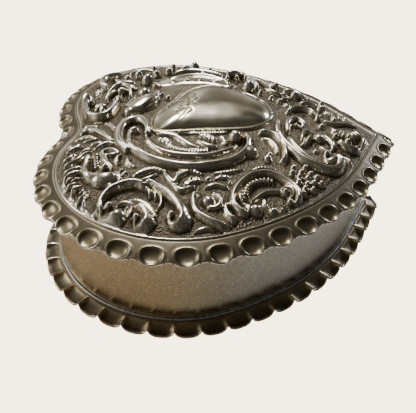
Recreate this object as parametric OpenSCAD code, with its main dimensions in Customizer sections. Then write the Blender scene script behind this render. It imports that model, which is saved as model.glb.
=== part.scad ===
// Heart-shaped trinket box: a vertical band wall on a crimped base, closed by a
// domed, hinged lid with a matching crimped border. +Z is up, the tip of the heart
// points to -Y, the hinge lies across the cleft at +Y, and X = 0 is the plane of
// symmetry. The origin is the centre of the footprint, on the surface it stands on.

/* [Outline of the rims] */
// Distance from the plane of symmetry to the centre of each lobe
lobe_x = 16.6; // [14:0.1:20]
// Radius of each lobe
lobe_r = 35.4; // [32:0.1:40]
// Radius of the long curve down each side
side_r = 73.3; // [68:0.1:80]
// Distance from the lobe centres to the point where the straight sides would meet
tip_reach = 60.6; // [57:0.1:64]
// Angle between each straight side and the plane of symmetry
tip_angle = 60.4; // [57:0.1:63]
// Radius of the blunt tip
tip_r = 4; // [2:0.5:6]
// Radius of the hollow between the lobes
cleft_r = 11.9; // [10:0.1:14]

/* [Crimped borders] */
// Number of crimps down each half of the lid's outline
lid_crimps = 21; // [15:1:27]
// Number of crimps down each half of the base's outline
base_crimps = 25; // [15:1:27]
// Share of the crimp pitch that is pressed into a cup
cup_share = 0.75; // [0.6:0.05:0.9]
// Height of the ridges between the lid's cups
ridge_h = 1.4; // [0.8:0.1:2]
// Height of the ridges between the base's cups
foot_ridge_h = 0.8; // [0.4:0.1:1]
// How far each cup pushes the edge outwards
cup_bulge = 0.5; // [0:0.1:0.8]
// Width of the lid's crimped border, out from the line around the field
border_w = 4.6; // [4:0.1:5.4]

/* [Body] */
// Thickness of the silver sheet
sheet_t = 0.8; // [0.5:0.1:1]
// Distance from the rim's edge in to the wall's outer face
wall_inset = 4; // [3.6:0.1:6.5]
// Height of the base where the wall stands on it
step_z = 1.6; // [1.5:0.1:4]
// Height of the wall's top edge
mouth_z = 23.4; // [20:0.1:28]

/* [Lid] */
// Rise of the lid's field at its centre
dome_h = 5.5; // [3:0.1:8]
// Length of the plain cartouche in the middle of the lid
cartouche_l = 36; // [28:1:40]
// Width of the cartouche
cartouche_w = 27; // [18:1:30]
// Height of the cartouche above the field
cartouche_h = 3.6; // [3:0.1:7]
// Turn of the cartouche's long axis away from the plane of symmetry
cartouche_turn = 18; // [-30:1:30]
// Depth of the locating strip under the lid
bezel_h = 2.4; // [1.5:0.1:3]

/* [Lining] */
// Thickness of the velvet on the wall
velvet_t = 0.8; // [0.5:0.1:1.2]
// Height of the padded floor above the base sheet
pad_h = 3.6; // [2:0.1:6]

/* [Hinge] */
// Outer radius of the barrel
barrel_r = 1.6; // [1.4:0.1:1.8]
// Radius of the pin
pin_r = 0.6; // [0.5:0.05:0.7]
// Distance between the middles of neighbouring knuckles
knuckle_pitch = 3.2; // [2.8:0.1:3.4]

/* [Hidden] */

silver = [0.72, 0.70, 0.64];
velvet = [0.30, 0.05, 0.09];
card = [0.62, 0.54, 0.42];

// The straight side and the side curve that blends it into the lobe
along_side = [sin(tip_angle), cos(tip_angle)];
into_heart = [-cos(tip_angle), sin(tip_angle)];
blend_gap = [-lobe_x, -tip_reach] + side_r * into_heart;
blend_along = blend_gap * along_side;
straight_l = -blend_along - sqrt(pow(blend_along, 2) - blend_gap * blend_gap + pow(side_r - lobe_r, 2));
side_c = [0, -tip_reach] + straight_l * along_side + side_r * into_heart;
blend_a = atan2(-side_c[1], lobe_x - side_c[0]);

// The hollow between the lobes, tangent to both of them
cleft_y = sqrt(pow(lobe_r + cleft_r, 2) - pow(lobe_x, 2));
cleft_a = atan2(-cleft_y, lobe_x);
lobe_c = [lobe_x, 0];

// Lengths along half of the outline, from the cleft to the tip
function arc_len(r, turn) = r * abs(turn) * PI / 180;
at_lobe = arc_len(cleft_r, cleft_a + 90);
at_side = at_lobe + arc_len(lobe_r, cleft_a + 180 - blend_a);
at_straight = at_side + arc_len(side_r, blend_a + tip_angle);
at_tip = at_straight + straight_l - tip_r / tan(tip_angle);
half_len = at_tip + arc_len(tip_r, 90 - tip_angle);

function polar(c, r, a) = [c[0] + r * cos(a), c[1] + r * sin(a)];
function mix(a, b, f) = a + (b - a) * f;
function tip_round(off) = max(tip_r + off, 1);
function tip_c(off) = [0, (tip_round(off) - off) / sin(tip_angle) - tip_reach];

// Point at the length s along half of the outline grown outwards by off
function half_point(off, s) =
    s < at_lobe ? polar([0, cleft_y], cleft_r - off, mix(-90, cleft_a, s / at_lobe)) :
    s < at_side ? polar(lobe_c, lobe_r + off,
        mix(cleft_a + 180, blend_a, (s - at_lobe) / (at_side - at_lobe))) :
    s < at_straight ? polar(side_c, side_r + off,
        mix(blend_a, -tip_angle, (s - at_side) / (at_straight - at_side))) :
    s < at_tip ? mix(polar(side_c, side_r + off, -tip_angle),
        polar(tip_c(off), tip_round(off), -tip_angle), (s - at_straight) / (at_tip - at_straight)) :
    polar(tip_c(off), tip_round(off), mix(-tip_angle, -90, (s - at_tip) / (half_len - at_tip)));

// Crimps: 1 in the middle of a cup, 0 on the flat ridges between the cups
cup_steps = 6;
lid_n = lid_crimps * cup_steps;
base_n = base_crimps * cup_steps;
function cup(i) =
    let (away = min(i % cup_steps, cup_steps - i % cup_steps) / cup_steps)
    away < cup_share / 2 ? pow(cos(180 * away / cup_share), 2) : 0;

// The outline is moved along Y so that the middle of the footprint is the origin
edge_ys = [for (i = [0:lid_n]) half_point(cup_bulge * cup(i), half_len * i / lid_n)[1]];
lobe_y = -(max(edge_ys) + min(edge_ys)) / 2;

// Point i of 2n around the whole outline, clockwise from the cleft
function heart_point(off, i, n) =
    let (p = half_point(off, half_len * min(i, 2 * n - i) / n))
    [i <= n ? p[0] : -p[0], p[1] + lobe_y];
function heart(off, n) = [for (i = [0:2 * n - 1]) heart_point(off, i, n)];
function rim_ring(n, off, bulge, z, lift) =
    [for (i = [0:2 * n - 1])
        let (p = heart_point(off + bulge * cup(i), i, n))
        [p[0], p[1], z + lift * (1 - cup(i))]];
function flat_ring(n, off, z) = [for (p = heart(off, n)) [p[0], p[1], z]];

// The card and the pad lie in the well inside the step
lining_inset = -wall_inset - sheet_t - 1.4;
card_t = 0.6;

// The flat strips that meet the wall reach just beyond its outer face
seat_off = wall_inset - 0.1;

// The lid's border falls from the line around the field to the edge
border_top = mouth_z + 0.1 + sheet_t;
border_drop = 2.6;
seat_w = 3;

// The field of the lid is a dome with the oval cartouche raised on it. Its rings run
// from the seat over the wall in to the cartouche, and go on inside it as smaller ovals.
field_foot = 0.8;
oval_share = 0.45;
oval_c = [4.5, lobe_y - 9.5];
field_edge = heart(-border_w - seat_w, lid_n);
function rise(f) = border_top + field_foot + (dome_h - field_foot) * (1 - f * f);
function oval_point(toward) =
    let (
        q = toward - oval_c,
        a = atan2(q[1], q[0]),
        along = 2 * sin(a - cartouche_turn) / cartouche_l,
        across = 2 * cos(a - cartouche_turn) / cartouche_w
    )
    polar(oval_c, 1 / sqrt(along * along + across * across), a);
function field_ring(f, drop) =
    [for (e = field_edge)
        let (p = mix(oval_point(e), e, f))
        [p[0], p[1], rise(mix(oval_share, 1, f)) - drop]];
function oval_ring(f, drop) =
    [for (e = field_edge)
        let (p = mix(oval_c, oval_point(e), f))
        [p[0], p[1], rise(oval_share * f) + cartouche_h * pow(1 - f * f, 0.75) - drop]];
oval_top = [oval_c[0], oval_c[1], rise(0) + cartouche_h];

// Hinge across the cleft, behind the wall and below the lid's border
hinge_y = lobe_y + 31.9;
hinge_z = 18.8;
hinge_l = 5 * knuckle_pitch;
knuckle_gap = 0.1;
leaf_t = 1.6;
leaf_z = barrel_r + 0.4;
bearer_z = 14.2;

// The box's knuckles grip the pin and the lid's knuckles turn on it
pin_fit = 0.02;
pin_play = 0.05;

// The locating strip stops here, clear of the hinge
bezel_stop_y = lobe_y + 14;

// Closed surface through a list of rings, ending in a point above and one below
module skin(rings, first, last) {
    n = len(rings[0]);
    m = len(rings);
    sides = [for (j = [0:m - 2], i = [0:n - 1])
        let (a = j * n + i, b = j * n + (i + 1) % n)
        each [[a, a + n, b + n], [a, b + n, b]]];
    caps = [for (i = [0:n - 1])
        let (k = (i + 1) % n)
        each [[n * m, i, k], [n * m + 1, (m - 1) * n + k, (m - 1) * n + i]]];
    polyhedron(concat([for (ring = rings) each ring], [first, last]), concat(sides, caps));
}

// Upright band that follows the outline, from z0 to z1
module band(outer, inner, z0, z1) {
    translate([0, 0, z0])
        linear_extrude(z1 - z0)
            difference() {
                polygon(heart(outer, 48));
                polygon(heart(inner, 48));
            }
}

module slab(off, z0, z1) {
    translate([0, 0, z0])
        linear_extrude(z1 - z0)
            polygon(heart(off, 48));
}

// Sunk floor, a step for the wall, and the border that falls to the cups' edge
module base_plate() {
    color(silver)
        skin([
            flat_ring(base_n, -wall_inset - sheet_t - 0.7, sheet_t),
            flat_ring(base_n, -wall_inset - sheet_t, step_z),
            flat_ring(base_n, -seat_off, step_z),
            rim_ring(base_n, -seat_off / 2, 0, sheet_t + 0.3, foot_ridge_h / 2),
            rim_ring(base_n, 0, cup_bulge, sheet_t, foot_ridge_h),
            rim_ring(base_n, 0, cup_bulge, 0, foot_ridge_h),
            rim_ring(base_n, -seat_off / 2, 0, 0.3, foot_ridge_h / 2),
            flat_ring(base_n, -seat_off, step_z - sheet_t),
            flat_ring(base_n, -wall_inset - 0.1, step_z - sheet_t),
            flat_ring(base_n, -wall_inset - 0.8, 0)
        ], [0, lobe_y - 8, sheet_t], [0, lobe_y - 8, 0]);
}

module body_wall() {
    color(silver)
        band(-wall_inset, -wall_inset - sheet_t, step_z, mouth_z);
}

module floor_card() {
    color(card)
        slab(lining_inset, sheet_t, sheet_t + card_t);
}

module floor_pad() {
    color(velvet)
        slab(lining_inset, sheet_t + card_t, sheet_t + card_t + pad_h);
}

module side_lining() {
    color(velvet)
        band(-wall_inset - sheet_t, -wall_inset - sheet_t - velvet_t, step_z, mouth_z - bezel_h - 0.4);
}

// Block soldered to the wall across the cleft, under the barrel
module body_hinge_bearer() {
    inside_y = lobe_y + 20;
    color(silver)
        translate([0, 0, bearer_z])
            linear_extrude(hinge_z - leaf_z - bearer_z)
                difference() {
                    translate([-hinge_l / 2, inside_y])
                        square([hinge_l, hinge_y + leaf_t / 2 - inside_y]);
                    polygon(heart(-wall_inset, 48));
                }
}

// One knuckle at x, with its foot pointing down (-1) or up (1)
module knuckle(x, side) {
    w = knuckle_pitch - knuckle_gap;
    translate([x - w / 2, hinge_y, hinge_z])
        difference() {
            union() {
                rotate([0, 90, 0]) cylinder(r = barrel_r, h = w, $fn = 48);
                translate([0, -leaf_t / 2, side > 0 ? 0 : -leaf_z]) cube([w, leaf_t, leaf_z]);
            }
            translate([-1, 0, 0])
                rotate([0, 90, 0])
                    cylinder(r = pin_r + (side > 0 ? pin_play : pin_fit), h = w + 2, $fn = 48);
        }
}

module body_knuckles() {
    color(silver)
        for (k = [-2, 0, 2]) knuckle(k * knuckle_pitch, -1);
}

module hinge_pin() {
    color(silver)
        translate([-hinge_l / 2, hinge_y, hinge_z])
            rotate([0, 90, 0])
                cylinder(r = pin_r, h = hinge_l, $fn = 48);
}

// Crimped border, a flat seat over the wall, and the domed field
module lid_plate() {
    color(silver)
        skin([
            oval_ring(0.4, 0),
            oval_ring(0.8, 0),
            field_ring(0, 0),
            field_ring(0.5, 0),
            field_ring(1, 0),
            flat_ring(lid_n, -border_w, border_top),
            rim_ring(lid_n, -border_w / 2, 0, border_top - border_drop / 2, ridge_h / 2),
            rim_ring(lid_n, 0, cup_bulge, border_top - border_drop, ridge_h),
            rim_ring(lid_n, 0, cup_bulge, border_top - border_drop - sheet_t, ridge_h),
            rim_ring(lid_n, -border_w / 2, 0, border_top - border_drop / 2 - sheet_t, ridge_h / 2),
            flat_ring(lid_n, -seat_off, border_top - sheet_t),
            flat_ring(lid_n, -border_w - seat_w, border_top - sheet_t),
            field_ring(0.5, sheet_t),
            field_ring(0, sheet_t),
            oval_ring(0.8, sheet_t),
            oval_ring(0.4, sheet_t)
        ], oval_top, oval_top - [0, 0, sheet_t]);
}

// Strip that drops inside the wall, left out near the hinge so that the lid can swing
module lid_bezel() {
    outer = -wall_inset - sheet_t - 0.4;
    color(silver)
        intersection() {
            band(outer, outer - 0.6, border_top - sheet_t - bezel_h, border_top - sheet_t);
            translate([-60, bezel_stop_y - 100, 0]) cube([120, 100, 40]);
        }
}

module lid_hinge_bearer() {
    color(silver)
        translate([-hinge_l / 2, hinge_y - leaf_t / 2, hinge_z + leaf_z])
            cube([hinge_l, leaf_t, 1.6]);
}

module lid_knuckles() {
    color(silver)
        for (k = [-1, 1]) knuckle(k * knuckle_pitch, 1);
}

base_plate();
body_wall();
floor_card();
floor_pad();
side_lining();
body_hinge_bearer();
body_knuckles();
hinge_pin();
lid_plate();
lid_bezel();
lid_hinge_bearer();
lid_knuckles();
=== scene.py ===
"""Heart-shaped silver trinket box: embossed lid, crimped borders, velvet lining and studio."""

import math

import bpy
import numpy as np
from mathutils import Matrix, Vector

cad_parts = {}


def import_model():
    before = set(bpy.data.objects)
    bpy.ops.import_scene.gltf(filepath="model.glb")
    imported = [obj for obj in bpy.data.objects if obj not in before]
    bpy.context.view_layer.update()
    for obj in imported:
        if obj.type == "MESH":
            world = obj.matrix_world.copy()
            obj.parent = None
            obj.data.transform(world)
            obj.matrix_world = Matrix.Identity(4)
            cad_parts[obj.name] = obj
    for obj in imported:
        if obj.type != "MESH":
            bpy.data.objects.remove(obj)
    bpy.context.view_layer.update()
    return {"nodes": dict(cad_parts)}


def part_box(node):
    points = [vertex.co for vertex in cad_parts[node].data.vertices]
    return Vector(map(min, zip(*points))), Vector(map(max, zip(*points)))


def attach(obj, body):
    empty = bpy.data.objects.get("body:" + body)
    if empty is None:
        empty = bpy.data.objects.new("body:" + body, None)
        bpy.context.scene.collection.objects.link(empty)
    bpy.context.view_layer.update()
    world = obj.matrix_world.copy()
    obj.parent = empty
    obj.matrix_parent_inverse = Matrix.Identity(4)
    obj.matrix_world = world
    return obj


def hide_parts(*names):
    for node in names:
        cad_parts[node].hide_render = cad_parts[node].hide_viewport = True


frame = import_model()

MM = 0.001

# ---------------- the heart's outline
# Millimetres, measured from the line through the lobes' centres. The lobes are +Y of
# it, the tip is -Y, and an offset grows the outline outwards.

LOBE_X, LOBE_R = 16.6, 35.4
SIDE_R = 73.3
TIP_REACH, TIP_R = 60.6, 4.0
TIP_A = math.radians(60.4)
CLEFT_R = 11.9
WALL_INSET, SHEET_T = 4.0, 0.8

# The frame's wall gives the heights, and its lobes place the drawing along Y
WALL_LOW, WALL_HIGH = (Vector(corner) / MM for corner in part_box("body_wall"))
LOBE_Y = WALL_HIGH.y - (LOBE_R - WALL_INSET)
BASE_STEP, MOUTH = WALL_LOW.z, WALL_HIGH.z
LID_TOP = MOUTH + 0.1 + SHEET_T

SIDE_DIR = np.array([math.sin(TIP_A), math.cos(TIP_A)])
SIDE_IN = np.array([-math.cos(TIP_A), math.sin(TIP_A)])
BLEND_GAP = np.array([-LOBE_X, -TIP_REACH]) + SIDE_R * SIDE_IN
BLEND_DOT = BLEND_GAP @ SIDE_DIR
STRAIGHT_L = -BLEND_DOT - math.sqrt(
    BLEND_DOT**2 - BLEND_GAP @ BLEND_GAP + (SIDE_R - LOBE_R) ** 2
)
SIDE_C = np.array([0, -TIP_REACH]) + STRAIGHT_L * SIDE_DIR + SIDE_R * SIDE_IN
BLEND_A = math.atan2(-SIDE_C[1], LOBE_X - SIDE_C[0])
CLEFT_Y = math.sqrt((LOBE_R + CLEFT_R) ** 2 - LOBE_X**2)
CLEFT_A = math.atan2(-CLEFT_Y, LOBE_X)

AT_LOBE = CLEFT_R * (CLEFT_A + math.pi / 2)
AT_SIDE = AT_LOBE + LOBE_R * (CLEFT_A + math.pi - BLEND_A)
AT_STRAIGHT = AT_SIDE + SIDE_R * (BLEND_A + TIP_A)
AT_TIP = AT_STRAIGHT + STRAIGHT_L - TIP_R / math.tan(TIP_A)
HALF_L = AT_TIP + TIP_R * (math.pi / 2 - TIP_A)

# The field, the pad and the base's floor are drawn as rings around this point
MIDDLE = np.array([0.0, -8.0])


def polar(centre, radius, angle):
    return (centre[0] + radius * math.cos(angle), centre[1] + radius * math.sin(angle))


def mix(a, b, f):
    return a + (b - a) * f


def bell(distance, width):
    """1 at no distance, fading to almost nothing at twice the width."""
    return np.exp(-((distance / width) ** 2))


def half_point(off, s):
    """Point at length s from the cleft along the right half, grown outwards by off."""
    if s < AT_LOBE:
        return polar((0, CLEFT_Y), CLEFT_R - off, mix(-math.pi / 2, CLEFT_A, s / AT_LOBE))
    if s < AT_SIDE:
        f = (s - AT_LOBE) / (AT_SIDE - AT_LOBE)
        return polar((LOBE_X, 0), LOBE_R + off, mix(CLEFT_A + math.pi, BLEND_A, f))
    if s < AT_STRAIGHT:
        f = (s - AT_SIDE) / (AT_STRAIGHT - AT_SIDE)
        return polar(SIDE_C, SIDE_R + off, mix(BLEND_A, -TIP_A, f))
    rounding = max(TIP_R + off, 1)
    centre = (0, (rounding - off) / math.sin(TIP_A) - TIP_REACH)
    if s < AT_TIP:
        f = (s - AT_STRAIGHT) / (AT_TIP - AT_STRAIGHT)
        start = polar(SIDE_C, SIDE_R + off, -TIP_A)
        stop = polar(centre, rounding, -TIP_A)
        return (mix(start[0], stop[0], f), mix(start[1], stop[1], f))
    f = (s - AT_TIP) / (HALF_L - AT_TIP)
    return polar(centre, rounding, mix(-TIP_A, -math.pi / 2, f))


def outline(off, n):
    """n points around the heart, clockwise from the cleft; off may differ at each one."""
    offs = np.broadcast_to(off, n)
    points = []
    for i in range(n):
        x, y = half_point(offs[i], HALF_L * 2 * min(i, n - i) / n)
        points.append((x if i <= n / 2 else -x, y))
    return np.array(points)


def from_cup(n, crimps):
    """Distance along the edge from each of n points to the middle of its crimp."""
    pitch = HALF_L / crimps
    s = 2 * HALF_L * np.arange(n) / n
    return (s + pitch / 2) % pitch - pitch / 2


# ---------------- meshes from rings


def ring_faces(first, n, second, m):
    """Faces between a ring of n points and the next one inwards, of n or n / 2 points."""
    a = np.arange(n)
    b = (a + 1) % n
    if m == n:
        return np.stack([first + a, second + a, second + b, first + b], 1).tolist()
    faces = []
    for k in range(m):
        o0, o1, o2 = first + 2 * k, first + 2 * k + 1, first + (2 * k + 2) % n
        i0, i1 = second + k, second + (k + 1) % m
        faces += [[o0, i0, o1], [o1, i0, i1], [o1, i1, o2]]
    return faces


def shell(name, top, bottom, peak, pit):
    """Closed mesh of rings from the edge in to a peak above and to a pit below."""
    points, faces = [], []
    for rings, centre, above in ((top, peak, True), (bottom, pit, False)):
        starts = []
        for ring in rings:
            starts.append(len(points))
            points.extend(ring.tolist())
        side = []
        for j in range(len(rings) - 1):
            side += ring_faces(starts[j], len(rings[j]), starts[j + 1], len(rings[j + 1]))
        last, n = starts[-1], len(rings[-1])
        points.append(list(centre))
        side += [[last + i, len(points) - 1, last + (i + 1) % n] for i in range(n)]
        faces += [f[::-1] for f in side] if above else side
        if above:
            upper_edge = starts[0]
        else:
            faces += ring_faces(upper_edge, len(top[0]), starts[0], len(bottom[0]))
    return solid(name, np.array(points), faces)


def place_in_scene(obj):
    bpy.context.scene.collection.objects.link(obj)
    return obj


def solid(name, points, faces):
    """Object from millimetre points in the drawing's frame."""
    points = np.array(points, float)
    points[:, 1] += LOBE_Y
    mesh = bpy.data.meshes.new(name)
    mesh.from_pydata((points * MM).tolist(), [], faces)
    mesh.validate()
    mesh.shade_smooth()
    return place_in_scene(bpy.data.objects.new(name, mesh))


def point_value(obj, name, values):
    """Store one number per vertex, for the materials to read, with 0 after the last."""
    layer = obj.data.attributes.new(name, "FLOAT", "POINT")
    numbers = np.zeros(len(obj.data.vertices), np.float32)
    numbers[: len(values)] = values
    layer.data.foreach_set("value", numbers)


# ---------------- embossing
# The relief is drawn on a raster over the lid, as heights in millimetres above the
# dome. Each stroke follows a smooth curve through a few given points.

STEP = 0.125
WEST, SOUTH = -50.0, -60.0
COLS, ROWS = 801, 785
GRID_X, GRID_Y = np.meshgrid(WEST + STEP * np.arange(COLS), SOUTH + STEP * np.arange(ROWS))


def smooth_path(points, closed=False):
    """Catmull-Rom curve through the points, sampled about every 0.1 mm."""
    p = np.array(points, float)
    if closed:
        p = np.vstack([p[-1], p, p[:2]])
    else:
        p = np.vstack([2 * p[0] - p[1], p, 2 * p[-1] - p[-2]])
    path = []
    for a, b, c, d in zip(p, p[1:], p[2:], p[3:]):
        t = np.linspace(0, 1, max(2, int(np.linalg.norm(c - b) / 0.1)), endpoint=False)[:, None]
        path.append(
            0.5 * (2 * b + (c - a) * t + (2 * a - 5 * b + 4 * c - d) * t**2
                   + (3 * b - a - 3 * c + d) * t**3)
        )
    return np.vstack(path + [p[-2:-1]])


def window(centre, reach):
    """Slices of the raster that hold a square of half side reach."""
    c0 = max(int((centre[0] - reach - WEST) / STEP), 0)
    c1 = max(int((centre[0] + reach - WEST) / STEP) + 2, 0)
    r0 = max(int((centre[1] - reach - SOUTH) / STEP), 0)
    r1 = max(int((centre[1] + reach - SOUTH) / STEP) + 2, 0)
    return slice(r0, r1), slice(c0, c1)


def trace(path, reach):
    """For cells near the path: mask, signed distance (left is +), share and length run."""
    best = np.full(GRID_X.shape, float(reach * reach))
    side = np.zeros(GRID_X.shape)
    index = np.zeros(GRID_X.shape, int)
    ahead = np.gradient(path, axis=0)
    for k, (point, d) in enumerate(zip(path, ahead)):
        w = window(point, reach)
        dx, dy = GRID_X[w] - point[0], GRID_Y[w] - point[1]
        square = dx * dx + dy * dy
        closer = square < best[w]
        best[w][closer] = square[closer]
        side[w][closer] = (d[0] * dy - d[1] * dx)[closer]
        index[w][closer] = k
    mask = best < reach * reach
    run = np.concatenate([[0], np.cumsum(np.linalg.norm(np.diff(path, axis=0), axis=1))])
    distance = np.sqrt(best[mask]) * np.sign(side[mask])
    return mask, distance, index[mask] / (len(path) - 1), run[index[mask]]


class Relief:
    """Heights above the dome, and the depths of the lines cut into them."""

    def __init__(self):
        self.height = np.zeros(GRID_X.shape)
        self.cuts = np.zeros(GRID_X.shape)

    def lift(self, mask, values):
        """Raise the cells to the values where they are lower."""
        self.height[mask] = np.maximum(self.height[mask], values)

    def crest(self, points, height, body, side, inner):
        """Scroll moulding: a crest that swells outwards and drops into a hollow.

        body is the width of the swelling at the start and at the end, side is +1 when
        it lies to the left of the path, and inner is the width of the hollow's flank.
        """
        reach = max(*body, inner)
        mask, d, t, run = trace(smooth_path(points), reach)
        q = d * side
        swell = np.sqrt(np.clip(1 - (q / mix(body[0], body[1], t)) ** 2, 0, 1))
        drop = np.clip(1 + q / inner, 0, 1)
        flank = 0.25 * drop + 0.75 * np.clip(1 + q / 0.7, 0, 1) ** 1.5
        ends = np.clip(np.minimum(run, run.max() - run) / 1.2, 0, 1)
        self.lift(mask, height * np.where(q > 0, swell, flank) * np.sqrt(ends))

    def cord(self, points, width, height, beads=0.0):
        """Plain rounded line, tapered at both ends; beads is a pitch for cross cuts."""
        mask, d, t, run = trace(smooth_path(points), width)
        half = width * (0.4 + 0.6 * np.sin(np.pi * np.clip(t, 0.02, 0.98)) ** 0.5)
        value = height * np.sqrt(np.clip(1 - (d / half) ** 2, 0, 1)) * (half / width) ** 0.5
        if beads:
            value *= 0.65 + 0.35 * np.abs(np.sin(np.pi * run / beads))
        self.lift(mask, value)

    def engrave(self, points, width=0.2, depth=0.14):
        """Line cut into whatever surface it crosses, fading at its ends."""
        mask, d, t, _ = trace(smooth_path(points), 2.5 * width)
        fade = np.clip(np.minimum(t, 1 - t) / 0.15, 0, 1)
        self.cuts[mask] = np.maximum(self.cuts[mask], depth * fade * bell(d, width))

    def volute(self, x, y, toward, bulb):
        """Curled end of a scroll: an eye, a crescent cut around it, and a heavy bulb.

        toward is the bearing of the bulb from the eye, in degrees.
        """
        c, s = math.cos(math.radians(toward)), math.sin(math.radians(toward))
        self.ball(x + 0.72 * bulb * c, y + 0.72 * bulb * s, bulb, 0.72 * bulb)
        self.ball(x, y, 0.38 * bulb, 0.92 * bulb)
        crescent = [
            polar((x, y), 0.5 * bulb, math.radians(toward + a)) for a in (-80, -35, 10, 55, 100)
        ]
        self.engrave(crescent, 0.17 * bulb, 0.3 * bulb)

    def ribs(self, points, width, height, pitch):
        """Band of flutes across a curve, as inside a shell."""
        mask, d, t, run = trace(smooth_path(points), width)
        q = d / width
        wave = 0.5 + 0.5 * np.cos(2 * np.pi * run / pitch)
        ends = np.clip(np.minimum(t, 1 - t) / 0.08, 0, 1)
        self.lift(mask, height * (0.25 + 0.75 * wave) * np.sqrt(np.clip(1 - q * q, 0, 1)) * ends)

    def comb(self, points, width, pitch):
        """Rounded band along a curve with narrow slots cut across it."""
        mask, d, t, run = trace(smooth_path(points), width)
        band = np.sqrt(np.clip(1 - (d / width) ** 2, 0, 1))
        ends = np.clip(np.minimum(t, 1 - t) / 0.08, 0, 1)
        self.lift(mask, 1.5 * band * ends)
        slot = (0.5 + 0.5 * np.cos(2 * np.pi * run / pitch)) ** 2 * band * ends
        self.cuts[mask] = np.maximum(self.cuts[mask], 0.7 * slot)

    def ball(self, x, y, radius, height):
        w = window((x, y), radius)
        square = (GRID_X[w] - x) ** 2 + (GRID_Y[w] - y) ** 2
        dome = np.sqrt(np.clip(1 - square / radius**2, 0, 1))
        self.height[w] = np.maximum(self.height[w], height * dome)

    def balls(self, *places):
        """Several balls, each given as x, y, radius and height."""
        for place in places:
            self.ball(*place)

    def leaf(self, x0, y0, x1, y1, width, height, lobes):
        """Almond leaf with a vein down the middle and notched sides."""
        a, b = np.array([x0, y0], float), np.array([x1, y1], float)
        bend = (b - a)[::-1] * [-0.12, 0.12]
        mask, d, t, _ = trace(smooth_path([a, (a + b) / 2 + bend, b]), width)
        notch = 1 - 0.16 * np.abs(np.sin(np.pi * lobes * (t - 0.25 * np.abs(d) / width)))
        half = width * np.sin(np.pi * np.clip(t, 0.01, 0.99)) ** 0.75 * notch
        q = np.abs(d) / np.maximum(half, 0.05)
        value = np.sqrt(np.clip(1 - q**2, 0, 1)) * (0.72 + 0.28 * notch)
        value -= 0.4 * bell(d, 0.28) * (q < 0.8)
        veins = np.cos(2 * np.pi * lobes * (t - 0.3 * np.abs(d) / width))
        value += 0.12 * veins * (q < 0.9)
        self.lift(mask, height * np.clip(value, 0, 1.2))

    def flower(self, x, y, radius, turn, height):
        """Blossom with five petals around a ball."""
        w = window((x, y), radius)
        dx, dy = GRID_X[w] - x, GRID_Y[w] - y
        r, a = np.hypot(dx, dy), np.arctan2(dy, dx) + turn
        petal = np.abs(np.cos(5 * a / 2))
        reach = radius * (0.55 + 0.45 * petal**0.6)
        value = np.clip(1 - (r / reach) ** 2, 0, 1) ** 0.5 * (0.45 + 0.55 * petal)
        self.height[w] = np.maximum(self.height[w], height * value)
        self.ball(x, y, radius * 0.3, height * 1.15)


# The cartouche's outline, star-shaped about its middle
OVAL_C = np.array([4.5, -9.5])
OVAL = smooth_path(
    [(-9.8, 6.6), (-4, 7.8), (1, 6.3), (7.5, 3), (14.3, -0.4), (18.8, -5), (20, -9.8),
     (18.2, -15), (14.4, -20), (9, -24.2), (3, -25.6), (-3, -24), (-6.8, -19), (-8.2, -12),
     (-9, -4), (-9.9, 2)],
    closed=True,
)
OVAL_H = 3.3


def radial(path, centre, x, y):
    """Distance of each point from the centre as a share of the path's distance there."""
    a = np.arctan2(path[:, 1] - centre[1], path[:, 0] - centre[0])
    order = np.argsort(a)
    r = np.hypot(*(path - centre).T)[order]
    angle = np.arctan2(y - centre[1], x - centre[0])
    return np.hypot(x - centre[0], y - centre[1]) / np.interp(angle, a[order], r, period=2 * np.pi)


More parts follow.
